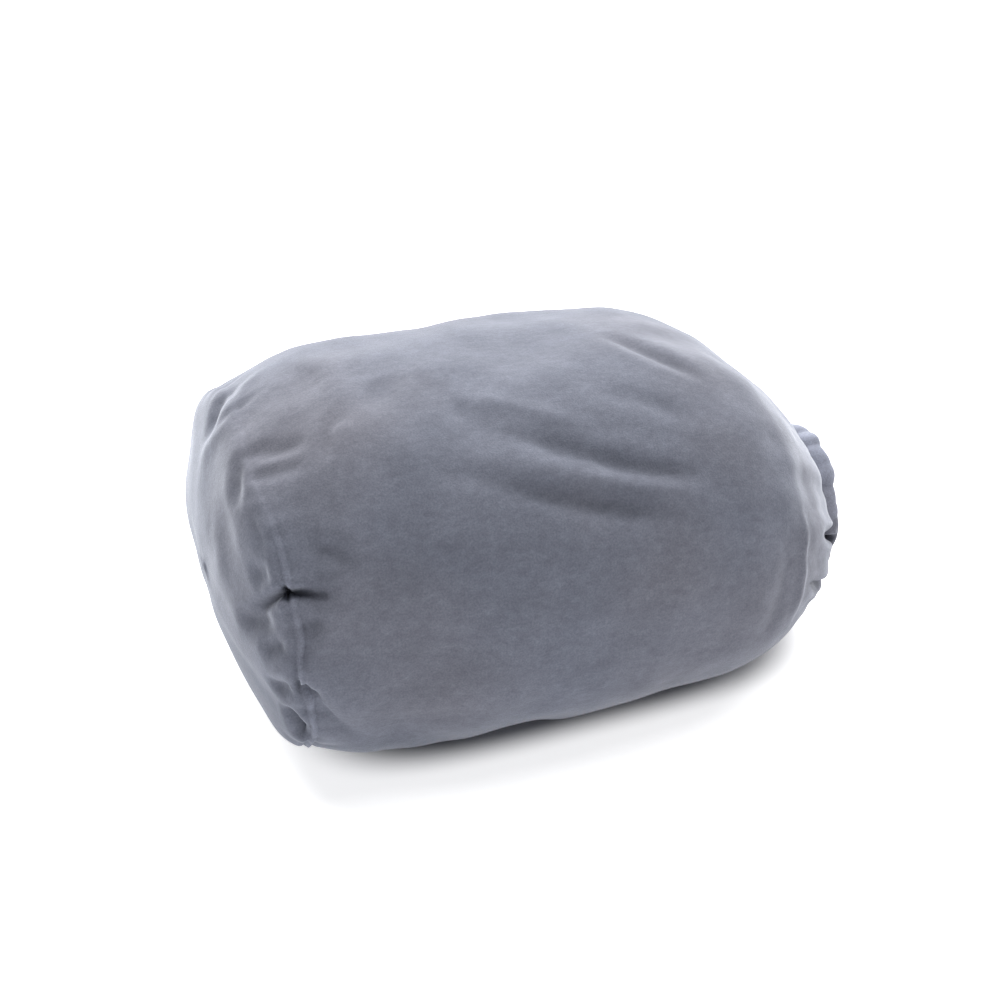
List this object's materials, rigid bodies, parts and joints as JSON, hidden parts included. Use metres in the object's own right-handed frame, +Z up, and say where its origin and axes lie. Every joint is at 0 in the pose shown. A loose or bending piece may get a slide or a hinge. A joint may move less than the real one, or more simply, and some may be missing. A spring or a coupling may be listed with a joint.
{
  "type": "camp pillow",
  "caption": "Camp pillow rolled up in its own soft velour drawcord pouch, with a rounded sewn end and a gathered mouth closed by a spring cord lock.",
  "frame": {"origin": "on the surface the pouch rests on, under the middle of its bounding box", "axes": "+X from the sewn end to the gathered mouth, +Z up"},
  "size_m": [0.2769, 0.1906, 0.1425],
  "materials": {
    "velour": "matte",
    "pillow_cover": "matte",
    "tape": "matte",
    "cord": "matte",
    "eyelet": "satin",
    "lock": "satin",
    "spring": "satin",
    "fill": "matte",
    "label": "matte"
  },
  "bodies": {
    "pouch": {"pouch_sleeve": "velour", "pouch_end_panel": "velour", "drawcord_channel": "velour", "end_seam_binding": "tape", "sleeve_seam_tape": "tape", "drawcord": "cord", "cord_knot_left": "cord", "cord_knot_right": "cord", "cord_eyelet_left": "eyelet", "cord_eyelet_right": "eyelet", "pillow_front_panel": "pillow_cover", "pillow_back_panel": "pillow_cover", "pillow_fill": "fill", "care_label": "label"},
    "cord_lock": {"cord_lock_body": "lock", "cord_lock_spring": "spring"},
    "lock_button": {"cord_lock_plunger": "lock"}
  },
  "joints": [
    {"name": "cord_lock_slide", "type": "slide", "parent": "pouch", "child": "cord_lock", "axis": [0, 0, 1], "range_m": [0, 0.022]},
    {"name": "lock_button_press", "type": "slide", "parent": "cord_lock", "child": "lock_button", "axis": [-1, 0, 0], "range_m": [0, 0.003], "stiffness_N_per_m": 500, "springref_m": -0.002, "deforming": ["cord_lock_spring"]}
  ]
}
